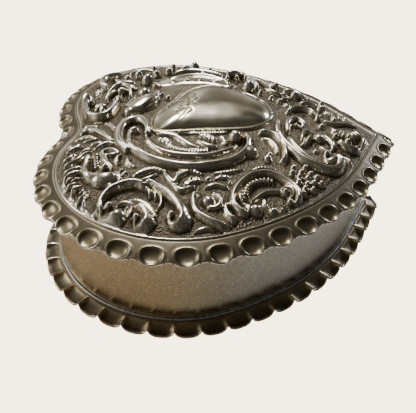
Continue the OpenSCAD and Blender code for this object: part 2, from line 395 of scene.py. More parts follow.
def near_side(r):
    """Scrolls, shells and leaves between the cartouche and the border at -X."""
    # bracket scroll under the cartouche: crest, inner line, hook and closing ball
    r.crest([(-10.1, 10.8), (-9.2, 11.8), (-10.6, 12.5), (-13.1, 12.4), (-16, 11.9), (-20, 8.3),
             (-22.8, 3.6), (-24.2, -2), (-23.3, -7.7), (-21.2, -12.6), (-17.2, -16),
             (-13.2, -16.8), (-10.2, -16.1)], 2.0, (1.2, 1.8), -1, 2.2)
    r.cord([(-11.6, 8.6), (-14.6, 7.4), (-17.9, 4.1), (-19.5, -0.6), (-19.3, -6.9), (-16.6, -12.4),
            (-14.2, -14.5)], 0.83, 1.15)
    r.cord([(-17.5, 13), (-13.5, 15), (-9, 15.6), (-5, 15), (-2.6, 13), (-3.2, 10.4), (-6.6, 8.6),
            (-10.4, 8.4)], 1.61, 2.2)
    r.engrave([(-13.8, -13), (-14, -15.2), (-12.6, -16.2)], 0.4, 0.8)
    r.balls((-11.8, -14.2, 1.9, 2.5), (-17.6, -17.2, 2.4, 1.9))
    # leaves and punched rows in the hollow of the bracket
    r.cord([(-10.4, 5.4), (-11.2, 1.6), (-13.2, -0.6), (-15.2, -2.4), (-16.2, -4.6)], 1.09, 1.07)
    r.cord([(-13.6, -4.6), (-15.2, -6.6), (-16, -9)], 0.96, 1.07)
    r.leaf(-12.4, 5.6, -15.2, 2.2, 1.1, 1.1, 3)
    r.leaf(-10.8, -4.6, -13.6, -9.4, 1.4, 1.2, 4)
    r.ribs([(-14.6, 3.6), (-16.6, 0.4), (-17.4, -3.4), (-17, -7.6)], 0.9, 0.8, 0.75)
    r.ribs([(-10.2, 4), (-9.6, -2), (-9.4, -8), (-8.8, -13)], 0.6, 0.9, 0.7)
    r.ribs([(-10.4, -10.4), (-12.6, -11.4), (-15, -10.8)], 0.9, 0.8, 0.7)
    # small scroll to its right
    r.crest([(-8.8, -20.2), (-9.1, -23), (-10.8, -24.9), (-14.5, -25.8), (-18.3, -25.7),
             (-21, -24.6)], 1.7, (0.9, 1.5), 1, 1.0)
    r.cord([(-11.4, -21.2), (-12.2, -23), (-14.4, -24), (-17, -24.2)], 0.83, 1.15)
    r.balls((-19.8, -21.6, 1.2, 1.5), (-17.4, -22.4, 0.7, 0.9))
    # large scroll with its curl, shell, balls and inner line
    r.crest([(-2.4, -26.6), (-6.7, -26), (-10.5, -26.1), (-14.8, -27.9), (-18.4, -30.3),
             (-20.5, -33.4), (-21.6, -36.7), (-20.6, -38.8), (-17.8, -40), (-15.6, -39.2)],
            2.1, (1.1, 1.9), -1, 1.6)
    r.cord([(-7.2, -28.2), (-4.2, -28.7), (-1.8, -29.8), (-0.6, -31.6), (-2, -33), (-4.3, -32.8)],
           1.22, 1.9)
    r.cord([(-9.8, -28.4), (-13.1, -29.5), (-16.4, -31.4), (-18.9, -34.2), (-19.4, -36.8)],
           0.83, 1.15)
    r.cord([(-10.4, -31.6), (-7.9, -32.3), (-6.4, -33.7), (-7.4, -35.2)], 0.83, 1.6)
    r.comb([(-13, -31.6), (-10.2, -33.4), (-8.2, -34.4)], 1.0, 0.9)
    r.cord([(-6.8, -38.2), (-8.6, -39.4), (-10.8, -39.8), (-13, -39.2)], 0.96, 1.23)
    r.volute(-16.2, -37, 235, 2.6)
    r.cord([(-12, -36.2), (-13.6, -37.6), (-15, -39)], 0.7, 0.74)
    r.balls((-3.4, -31.2, 0.8, 1.3), (-8.6, -36.6, 1.6, 1.8), (-14.4, -34.6, 0.8, 1.0))
    # ribbed scroll near the tip
    r.crest([(-8.3, -41.8), (-10.3, -42.8), (-11.4, -45), (-10.6, -47.2), (-7.6, -48.9),
             (-4.2, -50.1)], 1.9, (1.0, 1.4), -1, 1.2)
    r.comb([(-4.4, -42.4), (-5.2, -45.6), (-3.6, -49)], 2.2, 1.1)
    r.cord([(-2, -41.4), (-4.9, -41.8)], 0.96, 1.07)
    r.cord([(-14.8, -42), (-15.8, -43.1), (-18.2, -43.6)], 0.7, 0.66)
    r.balls((-8.2, -44.6, 1.2, 1.6), (-6, -41.6, 0.9, 1.4))
    # bunch of grapes
    for x, y in ((-22.6, -27.6), (-24.6, -27), (-24, -29.4), (-25.8, -28.6), (-27.6, -28.2),
                 (-26, -30.6), (-28, -30.2), (-24.2, -31.6), (-29.8, -29.4), (-27.4, -32),
                 (-29.8, -31.4), (-25.4, -33), (-31.6, -28.8), (-22.2, -30.6), (-27.4, -33.8)):
        r.ball(x, y, 0.95, 1.5)
    # shell with radial ribs
    r.crest([(-39.3, -15.2), (-39.2, -13.8), (-37.1, -12.3), (-34.2, -12.5), (-30.4, -14.4),
             (-27.4, -17.2), (-26.3, -20.3), (-27.1, -23), (-29.4, -25.8), (-31.5, -27),
             (-33.8, -26.9), (-35.5, -26.2)], 2.1, (1.2, 1.5), 1, 1.0)
    r.cord([(-36.6, -14.4), (-35.1, -13.7), (-33.4, -13.9), (-30.9, -15.3)], 0.57, 1.23)
    r.comb([(-35.6, -14.6), (-32.3, -15.3), (-30, -16.8), (-28.6, -19.3), (-28.4, -22.4)], 1.1, 1.0)
    r.cord([(-35.9, -16.2), (-33.8, -18), (-32, -20.6), (-31.8, -23), (-30.2, -24.4),
            (-29.6, -25.8)], 0.7, 1.23)
    r.volute(-32.4, -24.2, 300, 2.5)
    r.cord([(-37, -14.6), (-38.4, -15.4), (-39.4, -15.2)], 0.7, 1.6)
    r.cord([(-34.4, -19.2), (-36.2, -19), (-37.6, -20)], 0.7, 1.07)
    r.cord([(-36.6, -23), (-37.8, -23.2), (-38.4, -22.4)], 0.7, 0.82)
    r.balls((-34.6, -25.2, 0.9, 1.3), (-38.4, -17, 1.6, 1.8), (-38.4, -21.2, 1.3, 1.4),
            (-35.2, -16.6, 0.6, 1.2))
    # leafy scroll to the left of the shell
    r.crest([(-33.4, -4.6), (-35.1, -3.5), (-37.6, -3.3), (-40.2, -4.2), (-42, -6.4), (-43.3, -9),
             (-43.6, -11)], 1.8, (0.9, 1.2), -1, 1.1)
    r.cord([(-38.6, -6.4), (-38, -8.6), (-35.4, -9.2), (-33.8, -7.6)], 0.7, 1.4)
    r.crest([(-36.6, -11.2), (-38.4, -10.4), (-40.4, -11), (-42, -12.6)], 1.5, (0.9, 1.2), -1, 0.8)
    r.cord([(-45.2, -3.4), (-44.6, -4.6), (-44.2, -6), (-44.6, -7.4)], 0.57, 0.74)
    r.ball(-36.6, -6.6, 1.7, 1.8)
    # pair of scrolls with heavy curled ends
    r.crest([(-40.2, 15.7), (-38.8, 16.6), (-36.8, 16.7), (-33.9, 15.5), (-31.7, 12.8),
             (-31.4, 9.8), (-32.8, 7.4)], 2.5, (1.5, 1.2), 1, 0.9)
    r.volute(-38.9, 15, 200, 3.1)
    r.crest([(-30.8, 8.2), (-31.8, 6.2), (-34, 3.9), (-37.1, 1.5), (-40.2, 0.3), (-42.2, 0.5),
             (-43.4, 1.5)], 2.4, (1.1, 3.0), 1, 0.8)
    r.volute(-41.8, 1.6, 250, 2.8)
    r.crest([(-37.8, 9.4), (-39.5, 8.1), (-41.6, 7.4), (-43.4, 7.5), (-44.4, 8.6)], 2.2,
            (1.0, 2.4), 1, 0.7)
    r.volute(-42.2, 9, 250, 2.6)
    r.cord([(-37.6, 13.6), (-36.9, 12.4), (-37, 11), (-37.8, 9.8)], 0.7, 1.15)
    r.cord([(-35.6, 10.8), (-36.1, 8.8), (-37.6, 6.9), (-40.6, 5)], 0.96, 0.98, 0.7)
    r.cord([(-38, 11.2), (-40.6, 12)], 0.51, 0.74)
    r.cord([(-38.2, 10.2), (-41, 10.8)], 0.51, 0.74)
    r.cord([(-32.3, 7.3), (-33.7, 6.7), (-35.2, 6.4)], 0.6, 1.8)
    r.cord([(-32.6, 6.1), (-34.2, 5.3), (-36, 5.1)], 0.55, 1.5)
    r.cord([(-32.4, 5.2), (-34.6, 4.2), (-37, 3.9), (-39, 4.6)], 0.55, 1.1)
    # hollow leaves between the scrolls and the bracket
    r.cord([(-27.1, 5.4), (-28.4, 7), (-29.2, 9)], 0.7, 0.98)
    r.cord([(-27.2, 10.4), (-25.9, 8.4), (-25.2, 6), (-26, 3.4)], 1.09, 1.23, 0.9)
    r.cord([(-26.9, 3.2), (-28.9, 2.2), (-30, 1.2), (-28, 0.4), (-26.2, -1.8)], 0.83, 1.15)
    r.cord([(-26.4, 0.6), (-25.8, -2.4), (-26.8, -5.2)], 0.83, 0.98, 0.8)
    r.cord([(-30.7, 1.4), (-32.6, -0.4), (-31.4, -3.4)], 0.83, 1.07)
    r.leaf(-31.2, -1, -29, -5.4, 1.3, 1.3, 3)
    r.cord([(-31.6, -6), (-30.6, -8.6), (-31.4, -11)], 0.83, 0.98)
    r.leaf(-28.6, -8, -27.6, -12, 0.9, 1.1, 3)
    r.cord([(-26.4, -8), (-25.4, -12), (-24.2, -15)], 0.7, 0.82, 0.8)
    r.cord([(-24.4, -17.4), (-23.2, -20), (-23.6, -23)], 0.7, 0.82, 0.8)
    r.balls((-28.9, -6.6, 0.8, 1.3), (-29.4, -11.8, 0.6, 1.0))
    # curled scroll with its striped hollow
    r.crest([(-18.6, 21.6), (-22, 22), (-25, 21.8), (-27.1, 20.6), (-27.8, 18.6), (-27.3, 16.8),
             (-26, 15.9)], 2.2, (0.9, 2.4), -1, 0.9)
    r.cord([(-17.4, 19.2), (-21.3, 17.6), (-24.4, 15.8)], 0.83, 1.15)
    r.volute(-25.6, 17.4, 175, 3.2)
    r.comb([(-18.2, 20.4), (-21.4, 19.8), (-24.4, 19.2)], 1.2, 0.9)
    r.cord([(-25.2, 15), (-27.2, 14), (-29.4, 13.6)], 0.77, 0.98)
    r.balls((-26.8, 12.5, 0.9, 1.4), (-25, 13.6, 0.6, 1.0))
    # ruffled ribbon beside the border
    for fold in (
        [(-24.6, 22.8), (-25.2, 25), (-26.8, 26.6), (-28.8, 26.8), (-29.9, 25.6), (-28.9, 23.2)],
        [(-30.3, 21.9), (-31.3, 23.9), (-33.4, 24.3), (-35.2, 23.4), (-34.6, 21.8), (-32.5, 20.1)],
        [(-35, 20.9), (-36.6, 21.1), (-38.6, 20.4), (-39.6, 18.8), (-38.4, 17.6), (-36, 18.2)],
    ):
        r.cord(fold, 0.62, 1.7)
    r.cord([(-31.3, 21.2), (-32.4, 22.4)], 0.45, 0.98)
    r.cord([(-26.7, 23.4), (-27.5, 25)], 0.45, 0.98)
    r.cord([(-21.2, 27.6), (-20.3, 25.4), (-19.3, 24.2), (-17.4, 23.2), (-16.7, 22)], 0.8, 1.7)
    r.cord([(-23.9, 27.2), (-23.1, 25.2), (-22.6, 23.4)], 0.75, 1.23)
    r.cord([(-18.6, 28.4), (-17.8, 27), (-16.2, 26)], 0.75, 1.23)
    r.cord([(-14.8, 28.2), (-13.2, 26.8), (-12.6, 25)], 0.75, 1.23)
    r.cord([(-16.2, 24.6), (-15, 23.4), (-14.8, 22)], 0.6, 0.98)
    r.ball(-18.8, 22, 0.8, 1.2)
    # broad leaf by the cleft, with its folds
    r.cord([(-4.8, 26.2), (-3.6, 24.8), (-4.1, 23.2), (-7, 20.8), (-12.3, 17.2)], 0.96, 1.6)
    r.leaf(-7.6, 27.6, -8.6, 22, 1.2, 1.0, 4)
    r.cord([(-10, 24.6), (-9.4, 21.2)], 0.7, 0.82)
    r.cord([(-12.6, 22.4), (-12.4, 19.6)], 0.7, 0.9)
    r.cord([(-15, 21), (-13.7, 19.8), (-13, 18.2), (-13.8, 16.6)], 0.83, 1.07)
    r.cord([(-17.4, 19.4), (-16.3, 18), (-16.8, 16.4), (-17.8, 15)], 0.77, 1.07)
    r.cord([(-18.3, 18.4), (-18.8, 16.8), (-18.4, 15.2)], 0.64, 0.98)
    r.cord([(-18.8, 14.4), (-20.9, 15.2), (-22.4, 14.6)], 0.7, 0.98)
    r.cord([(-20.2, 12.6), (-22.6, 12.2), (-24.2, 10.4)], 0.7, 0.9, 0.8)
    r.cord([(0.4, 28), (-0.8, 25), (-1.6, 22.4)], 0.83, 0.98)
    r.cord([(0, 20.4), (-2.6, 18.4), (-6.6, 17)], 0.83, 0.98, 0.9)
    r.cord([(-9.6, 29), (-12, 27.4), (-11.4, 25.2)], 0.83, 0.98)


def far_side(r):
    """Scrolls, blossoms and the plain cove between the cartouche and the border at +X."""
    # large scroll on the far lobe, with a blossom inside
    r.crest([(9.1, 17.4), (5.7, 18.2), (3.1, 19.3), (1.6, 21.8), (3, 24.9), (5.6, 27), (9, 28.2),
             (12.4, 28.5), (15.7, 27.5)], 2.8, (1.8, 2.8), -1, 1.2)
    r.flower(8.8, 22.6, 2.4, 0.2, 1.7)
    r.cord([(12.3, 21.5), (15.5, 21), (18.5, 19.9), (20.5, 18.3), (19.5, 16.4), (16.8, 15),
            (13.4, 14.6)], 1.09, 2)
    r.flower(12.6, 18, 1.9, 0.6, 1.5)
    r.leaf(16.6, 24.6, 21.4, 23.4, 1.3, 1.4, 4)
    r.balls((12.6, 26, 1.3, 1.6), (5.4, 22, 0.9, 1.2), (17.2, 17.6, 1.6, 1.8))
    # swelling leaf beside the cartouche
    r.cord([(3.6, 14), (6.6, 11), (10.4, 7.6)], 3.6, 2.8)
    r.engrave([(3.2, 10.4), (5.6, 8.4), (8.6, 6.6)], 0.35, 0.5)
    r.cord([(13.6, 13), (8.4, 14.4), (3.6, 15)], 1.09, 1.15)
    r.flower(13.8, 6.4, 1.6, 0.4, 1.3)
    r.balls((14.8, 10.6, 2.0, 1.9), (10.8, 3.6, 0.9, 1.3))
    # balls and ridges towards the far border
    r.cord([(28.4, 20.6), (25, 18.4), (23.8, 14.4)], 1.09, 1.23)
    r.cord([(22.4, 22.6), (25.4, 24.4), (29.8, 23.4), (33.4, 19.6)], 1.48, 1.8)
    r.cord([(34.4, 16), (35.2, 12), (34, 8.6)], 1.22, 1.23)
    r.leaf(19, 12.8, 22.4, 15.4, 1.0, 1.2, 3)
    r.flower(20.6, 7.4, 1.4, 0.1, 1.2)
    r.balls((24.4, 10.2, 2.1, 2.2), (30.4, 13.3, 1.6, 1.8), (27.7, 16.6, 1.4, 1.6),
            (30.4, 7.8, 1.4, 1.7), (33, 4, 1.4, 1.7), (37.6, 2.6, 1.5, 1.8), (38.8, 9, 1.0, 1.3))
    # plain cove with its row of punched dots
    for k in range(5):
        r.ball(24.1 - 0.12 * (k - 2) ** 2, 2.4 - 4.2 * k, 0.5, 1.3)
    r.cord([(22.6, 7), (26, 0), (26.2, -7.4), (22.4, -14.6)], 4.4, 0.61)
    r.cord([(25.8, 3), (28.8, -2.2), (29, -7.5), (26.2, -13)], 1.22, 1.07)
    r.cord([(33, 1.4), (34.6, -3), (33.8, -8), (31, -12.6)], 1.74, 1.23)
    r.leaf(40.4, 0, 40.2, -4.6, 1.0, 1.3, 3)
    r.balls((37.6, -4.4, 1.9, 2.2), (36.4, -9.4, 1.0, 1.3), (30.6, -6.8, 1.0, 1.4))
    # scroll and balls to the right of the cove
    r.crest([(25.4, -14.6), (29.6, -15.2), (31.8, -17.4), (30.4, -19.6), (26.4, -19.8)], 1.9,
            (1.1, 1.5), 1, 1.0)
    r.cord([(27.4, -20.8), (24.6, -22.4), (20.6, -23)], 1.22, 1.7)
    r.cord([(27.6, -25.2), (24.6, -27), (21.6, -27.6)], 1.22, 1.6)
    r.cord([(20.4, -25.6), (18.3, -27.6), (17, -30)], 0.96, 1.15)
    r.cord([(12.8, -29.4), (14.6, -31.4), (17.6, -31.6)], 0.96, 1.07)
    r.cord([(9.6, -29.8), (8, -31.2)], 0.83, 0.82)
    r.cord([(20.8, -31.6), (20.4, -34.6), (17.6, -37)], 1.22, 1.6)
    r.balls((27.4, -17.4, 1.0, 1.5), (18.8, -20.4, 2.1, 2.4), (24.4, -29.4, 1.2, 1.6),
            (15.6, -23.6, 1.0, 1.5), (12.6, -26.4, 0.9, 1.4), (10.9, -28.6, 0.9, 1.4),
            (17.2, -34.2, 1.5, 1.9), (29.8, -22.4, 1.0, 1.3))
    # arch over a hollow, and the ridges towards the tip
    r.crest([(2.6, -29.8), (5.4, -31.6), (6.8, -34.6), (5.2, -37), (0.8, -38)], 1.9,
            (1.1, 1.1), 1, 1.0)
    r.cord([(12.4, -35.4), (13.4, -38), (11.8, -40)], 1.09, 1.23)
    r.cord([(9.3, -43.8), (5.7, -43.4), (2.4, -42.6)], 0.96, 1.23)
    r.cord([(10.6, -46), (5.7, -45.4)], 0.57, 0.9)
    r.cord([(9, -47.4), (4.9, -46.8)], 0.57, 0.82)
    r.cord([(1.2, -40), (0.6, -43), (1.8, -46), (1.4, -49)], 0.96, 0.98)
    r.cord([(5, -39.6), (6.8, -41), (9.2, -43)], 0.7, 0.82)
    r.leaf(16.4, -39.8, 19.4, -38.2, 1.0, 1.2, 3)
    r.balls((9.6, -40.8, 1.6, 1.8), (-1.8, -38.6, 1.0, 1.3), (14.8, -42, 1.0, 1.3))


def sprig(r):
    """Engraved leafy sprig on the cartouche."""
    r.engrave([(-6.6, 0.6), (-3, -1.6), (1, -2.4), (5, -2), (8.6, -0.4)], 0.22)
    for x, y, lean in ((-4.6, -0.6, -0.3), (-1.6, -2, -0.1), (1.6, -2.4, 0.05), (4.8, -2, 0.2)):
        for side in (1, -1):
            r.engrave([(x, y), (x + 0.5, y + side * 1.3), (x + 1.8, y + side * 2.3 + lean),
                       (x + 2.9, y + side * 1.7 + lean), (x + 2.3, y + side * 0.8 + lean)])
    r.engrave([(8.6, -0.4), (9.8, 0.8), (9.2, 2), (8, 1.6)])


def blur(a, times):
    """Soften by repeated passes of a 1-2-1 filter."""
    for _ in range(times):
        a = (a[1:-1] * 2 + a[:-2] + a[2:]) / 4
        a = np.pad(a, ((1, 1), (0, 0)), "edge")
        a = (a[:, 1:-1] * 2 + a[:, :-2] + a[:, 2:]) / 4
        a = np.pad(a, ((0, 0), (1, 1)), "edge")
    return a


def wide_blur(a, cells):
    """Box average of odd width, twice, by running sums."""
    for _ in range(2):
        for axis in (0, 1):
            pad = [(0, 0), (0, 0)]
            pad[axis] = (cells // 2 + 1, cells // 2)
            total = np.cumsum(np.pad(a, pad, "edge"), axis)
            low = [slice(None)] * 2
            high = [slice(None)] * 2
            low[axis] = slice(0, -cells)
            high[axis] = slice(cells, None)
            a = (total[tuple(high)] - total[tuple(low)]) / cells
    return a


def waviness(x, y, size, seed):
    """Smooth, repeatable unevenness between -1 and 1, with features of about size."""
    rng = np.random.default_rng(seed)
    total = np.zeros_like(x)
    for _ in range(9):
        a, phase = rng.uniform(0, 2 * np.pi, 2)
        k = 2 * np.pi / (size * rng.uniform(0.7, 1.6))
        total += np.sin(k * (x * np.cos(a) + y * np.sin(a)) + phase)
    return total / 4


def emboss():
    """Height of the lid's relief above its dome, how far it lies below its neighbours, and
    how plainly it is bare ground."""
    r = Relief()
    near_side(r)
    far_side(r)
    sprig(r)
    # the beating is deeper towards the border at +X and the tip
    r.height *= 1 + 0.55 * np.clip((GRID_X - 6) / 16, 0, 1)
    r.height *= 1 + 0.2 * np.clip((-36 - GRID_Y) / 8, 0, 1)
    share = radial(OVAL, OVAL_C, GRID_X, GRID_Y)
    r.height *= np.clip((share - 0.99) / 0.03, 0, 1)
    crown = 0.55 + (OVAL_H - 0.55) * np.clip(1 - (share / 0.94) ** 2.6, 0, 1) ** 0.8
    plate = np.where(share < 1, crown, 0) + 0.5 * bell(share - 0.98, 0.016)
    height = blur(np.maximum(r.height, plate), 3)
    ground = np.clip(1 - height / 0.35, 0, 1)
    height += np.where(share < 1, 0.015, 0.05) * waviness(GRID_X, GRID_Y, 5, 3)
    height += ground * 0.05 * waviness(GRID_X, GRID_Y, 1.4, 4)
    pit = np.clip((wide_blur(height, 17) - height) / 0.8 + 5 * r.cuts, -1, 1)
    return height - r.cuts, pit, ground


def sample(raster, x, y):
    """Bilinear reading of a raster at millimetre points."""
    u = np.clip((x - WEST) / STEP, 0, COLS - 1.001)
    v = np.clip((y - SOUTH) / STEP, 0, ROWS - 1.001)
    i, j = u.astype(int), v.astype(int)
    fu, fv = u - i, v - j
    low = raster[j, i] * (1 - fu) + raster[j, i + 1] * fu
    high = raster[j + 1, i] * (1 - fu) + raster[j + 1, i + 1] * fu
    return low * (1 - fv) + high * fv


# ---------------- crimped borders
# Each ring runs at the offset off from the rim's edge, lowered when it is an underside. It
# comes with a colour value, from about -1 where the lips, edges and ridges are painted bright
# as highlights, to 1 where it is darkest, with tarnish on the lands and painted shade in the base's
# hollows.

LID_CRIMPS, BORDER_W, LID_DROP = 21, 4.6, 2.0
CUP_ALONG, CUP_ACROSS, CUP_IN = 2.45, 1.6, 1.35
CUP_DEPTH, CUP_LIP, CUP_BULGE = 0.78, 0.36, 0.55

BASE_CRIMPS, FOOT_W = 25, 3.9
FLUTE_DEPTH, FLUTE_RIDGE, FLUTE_BULGE = 0.95, 0.3, 0.42


def cupped_ring(off, n, lower=0.0):
    """Ring of the lid's border, a slope with oval cups pressed in along its edge."""
    away = from_cup(n, LID_CRIMPS)
    out = np.clip(1 + off / BORDER_W, 0, 1)
    xy = outline(off + CUP_BULGE * np.exp(-((away / 2.3) ** 4)) * out**2, n)
    slope = LID_TOP - LID_DROP * out**1.25
    land = 0.5 * out**1.5 * (1 - np.exp(-((away / 3.1) ** 4)))
    e = (np.abs(away / CUP_ALONG) ** 2.3 + abs((off + CUP_IN) / CUP_ACROSS) ** 2.3) ** (1 / 2.3)
    bowl = np.clip(1 - e**3.0, 0, 1)
    lip = bell(e - 1.08, 0.12) * out**0.5
    edge = bell(off, 0.2)
    rise = slope + land - CUP_DEPTH * bowl + CUP_LIP * lip * (1 - out**6)
    # Painted light: the lips and the outer edge are painted bright as highlights, and the cups
    # lighter than the lands for the light they catch; the lands' darker tone is tarnish.
    tarnish_and_painted_light = 0.8 - 0.45 * bowl - 0.95 * lip - 1.15 * edge
    return np.column_stack([xy, rise - lower]), tarnish_and_painted_light


def fluted_ring(off, n, lower=0.0):
    """Ring of the base's border, hollows that fill it with sharp ridges between them."""
    away = from_cup(n, BASE_CRIMPS)
    out = np.clip(1 + off / FOOT_W, 0, 1)
    share = np.abs(away) * 2 * BASE_CRIMPS / HALF_L
    flute = 1 - share**3.0
    xy = outline(off + FLUTE_BULGE * flute * out**2, n)
    hollow = flute * np.clip(2 * out - 0.5, 0, 1) ** 0.7
    ridge = bell(1 - share, 0.11) * np.clip(2 * out - 0.4, 0, 1)
    edge = bell(off, 0.2)
    rise = BASE_STEP - 0.1 * out - FLUTE_DEPTH * hollow + FLUTE_RIDGE * ridge
    # Painted light: the hollows are painted darker as shade, and the ridges and the outer edge
    # bright as highlights; the even base tone is tarnish.
    tarnish_and_painted_light = 0.45 + 0.35 * hollow - 1.3 * ridge - 0.9 * edge
    return np.column_stack([xy, rise - lower]), tarnish_and_painted_light


def level_ring(off, n, z):
    """Ring at one height."""
    return np.column_stack([outline(off, n), np.full(n, z)])


# ---------------- lid sheet

EMBOSS, PIT, GROUND = emboss()

FIELD_FOOT, DOME_H, OVAL_SHARE = 0.8, 5.5, 0.45
LID_COLS = 24 * 2 * LID_CRIMPS

# The field begins inside the raised line, about FIELD_REACH from its middle
FIELD_OFF, FIELD_REACH, FIELD_STEP = -5.7, 42, 0.28
FIELD = outline(FIELD_OFF, LID_COLS)
DOME_EDGE = outline(-BORDER_W - 3, 720)


def dome(x, y):
    """Height of the lid's field without its relief."""
    r_edge = radial(DOME_EDGE, OVAL_C, x, y)
    r_oval = radial(OVAL, OVAL_C, x, y)
    reach = r_oval / np.maximum(r_edge, 1e-6)
    f = np.clip((r_oval - 1) / (reach - 1), 0, 1)
    f = np.where(r_oval > 1, mix(OVAL_SHARE, 1, f), OVAL_SHARE * r_oval)
    return LID_TOP + FIELD_FOOT + (DOME_H - FIELD_FOOT) * (1 - f * f)


def field_rings():
    """Rings of the embossed field from its edge in, each with its pit and ground values.

    A ring has half as many points once it has shrunk to about half its length.
    """
    rows = []
    f = 1.0
    while f > 0.02:
        m = LID_COLS if f > 0.55 else LID_COLS // 2 if f > 0.27 else LID_COLS // 4
        xy = mix(MIDDLE, FIELD[:: LID_COLS // m], f)
        x, y = xy[:, 0], xy[:, 1]
        inwards = (1 - f) * FIELD_REACH
        fade = np.clip(inwards / 1.2, 0, 1)
        foot = np.clip(inwards / 2.0, 0, 1)
        z = mix(LID_TOP + 0.1, dome(x, y), foot) + sample(EMBOSS, x, y) * fade
        rows.append((np.column_stack([xy, z]), sample(PIT, x, y), sample(GROUND, x, y)))
        f -= FIELD_STEP / FIELD_REACH
    return rows


def lid_top_rings():
    """Rings of the lid's upper face: border, groove and line around the field, field."""
    n = LID_COLS
    plain = np.zeros(n)
    rows = []
    for off in np.linspace(0, -4.2, 20):
        ring, tarnish_and_painted_light = cupped_ring(off, n)
        rows.append((ring, tarnish_and_painted_light, plain))
    # Painted light: the groove's ring is painted dark as shade, and the rings of the raised line
    # bright as a highlight.
    for off, z, pit in ((-4.4, -0.02, 0.3), (-4.62, -0.22, 1.0), (-4.8, -0.1, 0.5),
                        (-4.95, 0.2, -0.4), (-5.15, 0.28, -0.8), (-5.4, 0.12, 0.2)):
        rows.append((level_ring(off, n, LID_TOP + z), np.full(n, pit), plain))
    return rows + field_rings()


def lid_under_rings():
    """Rings of the lid's underside, where the embossing shows through softened."""
    border = (0, -0.8, -1.6, -2.4, -3.2, -4.0, -BORDER_W)
    rings = [cupped_ring(off, LID_COLS // 4, 0.6)[0] for off in border]
    soft = blur(EMBOSS, 14)
    for f in np.linspace(1, 0.02, 70):
        xy = mix(MIDDLE, FIELD[::4], f)
        x, y = xy[:, 0], xy[:, 1]
        seat = np.clip((1 - f) * FIELD_REACH / 3.0, 0, 1)
        z = mix(LID_TOP - 0.75, dome(x, y) + sample(soft, x, y) - 0.7, seat)
        rings.append(np.column_stack([xy, z]))
    return rings


def centre_of(ring):
    """Point that closes a disc of rings."""
    return [*MIDDLE, float(np.mean(ring[:, 2]))]


def lid_embossed():
    """The lid's sheet: crimped border, line around the field, dome and relief."""
    top, pits, grounds = zip(*lid_top_rings())
    under = lid_under_rings()
    rim = top[0] - [0, 0, 0.55]
    edge = [rim, rim[::2] - [0, 0, 0.02]]
    obj = shell("lid_embossed", top, edge + under, centre_of(top[-1]), centre_of(under[-1]))
    for name, values in (("pit", pits), ("ground", grounds)):
        point_value(obj, name, np.concatenate(values))
    return obj


# ---------------- base sheet


def base_crimped():
    """The base sheet: sunk floor, step for the wall and the crimped foot."""
    n = 24 * 2 * BASE_CRIMPS
    rows = [fluted_ring(off, n) for off in np.linspace(0, -FOOT_W, 18)]
    for off, z in ((-4.5, BASE_STEP), (-4.8, BASE_STEP), (-5.0, BASE_STEP - 0.2), (-5.4, 0.9),
                   (-5.6, SHEET_T)):
        rows.append((level_ring(off, n, z), np.full(n, 0.5)))
    top, pits = zip(*rows)
    edge = [np.maximum(top[0] - [0, 0, 0.5], [-np.inf, -np.inf, 0])]
    under = [fluted_ring(off, n // 2, 0.55)[0] for off in (0, -0.6, -1.3, -2.1, -3.0, -FOOT_W)]
    for off, z in ((-4.1, 0.8), (-4.3, 0.6), (-4.9, 0.12), (-5.1, 0.0)):
        under.append(level_ring(off, n // 2, z))
    obj = shell("base_crimped", top, edge + under, (*MIDDLE, SHEET_T), (*MIDDLE, 0))
    point_value(obj, "pit", np.concatenate(pits))
    point_value(obj, "ground", [])
    return obj


# ---------------- walls and lining

WALL_BACK = -WALL_INSET - SHEET_T
WALL_COLS = 720


def band_faces(m, n, columns):
    """Faces between m loops of n points, the last loop joined to the first."""
    faces = []
    for j in range(m):
        for i in range(columns):
            a, b = j * n + i, j * n + (i + 1) % n
            c, d = ((j + 1) % m) * n + (i + 1) % n, ((j + 1) % m) * n + i
            faces.append([d, c, b, a])
    return faces


def tube(name, profile, n, uneven=0.0):
    """Closed band: a profile of (offset, height) carried around the heart."""
    loops = []
    for off, z in profile:
        ring = outline(off, n)
        drift = uneven * waviness(ring[:, 0] + 0.6 * z, ring[:, 1] - 0.6 * z, 16, 8)
        loops.append(level_ring(off + drift, n, z))
    return solid(name, np.vstack(loops), band_faces(len(profile), n, n))


def rounded_band(outer, inner, z0, z1, r, rows):
    """Profile of an upright strip with softened edges, outer face first, going up."""
    side = [(outer, z) for z in np.linspace(z0 + r, z1 - r, rows)]
    back = [(inner, z) for z in np.linspace(z1 - r, z0 + r, 4)]
    return side + [(outer - r, z1), (inner + r, z1)] + back + [(inner + r, z0), (outer - r, z0)]


def heights(node):
    """Lowest and highest z of a node, in millimetres."""
    low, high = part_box(node)
    return low[2] / MM, high[2] / MM


def wall_band():
    """The plain wall, slightly uneven from its making."""
    profile = rounded_band(-WALL_INSET, WALL_BACK, BASE_STEP, MOUTH, 0.2, 16)
    return tube("wall_band", profile, WALL_COLS, 0.035)


def solder_line():
    """Thin uneven fillet where the wall stands on the base."""
    fillet = [(0.42 * math.cos(a), 0.336 * math.sin(a)) for a in np.linspace(0, math.pi / 2, 5)]
    profile = [(-WALL_INSET + out, BASE_STEP + up) for out, up in [(0, 0)] + fillet]
    return tube("solder_line", profile, WALL_COLS, 0.05)


def bezel_strip():
    """Locating strip under the lid, open across the hinge."""
    lo, hi = heights("lid_bezel")
    stop_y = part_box("lid_bezel")[1][1] / MM - LOBE_Y
    outer = WALL_BACK - 0.4
    profile = rounded_band(outer, outer - 0.6, lo, hi, 0.15, 4)
    kept = outline(outer, WALL_COLS)[:, 1] < stop_y
    loops = [level_ring(off, WALL_COLS, z)[kept] for off, z in profile]
    m, k = len(profile), len(loops[0])
    faces = band_faces(m, k, k - 1)
    faces.append([j * k for j in range(m)])
    faces.append([j * k + k - 1 for j in range(m)][::-1])
    return solid("bezel_strip", np.vstack(loops), faces)


